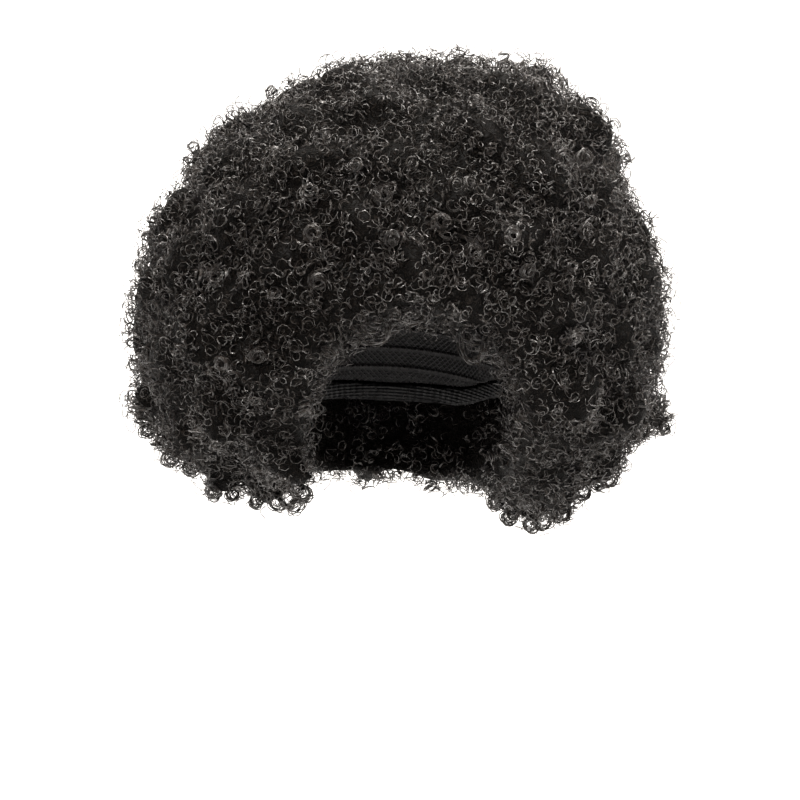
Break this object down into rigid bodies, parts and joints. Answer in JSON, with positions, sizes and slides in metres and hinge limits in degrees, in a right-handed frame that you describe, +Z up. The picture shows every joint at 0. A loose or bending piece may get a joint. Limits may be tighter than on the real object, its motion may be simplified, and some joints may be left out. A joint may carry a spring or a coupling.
{
  "type": "afro wig",
  "caption": "Large round afro wig of tight black curls on a stretch cap with an elastic edge, open in front for the face and below for the neck.",
  "frame": {"origin": "where the top of the wearer's head touches the inside of the cap", "axes": "+Z up out of the crown, -Y the way the wearer looks, +X to the wearer's left"},
  "size_m": [0.3571, 0.3434, 0.3107],
  "materials": {
    "hair_fibre": "glossy synthetic fibre, crimped into tight curls",
    "cap_net": "matt stretch net",
    "rim_elastic": "matt ribbed elastic"
  },
  "bodies": {
    "root": {"cap": "cap_net", "rim_band": "rim_elastic", "crown_hair": "hair_fibre", "front_hair": "hair_fibre", "left_hair": "hair_fibre", "right_hair": "hair_fibre", "back_hair": "hair_fibre", "nape_hair": "hair_fibre"}
  },
  "joints": []
}
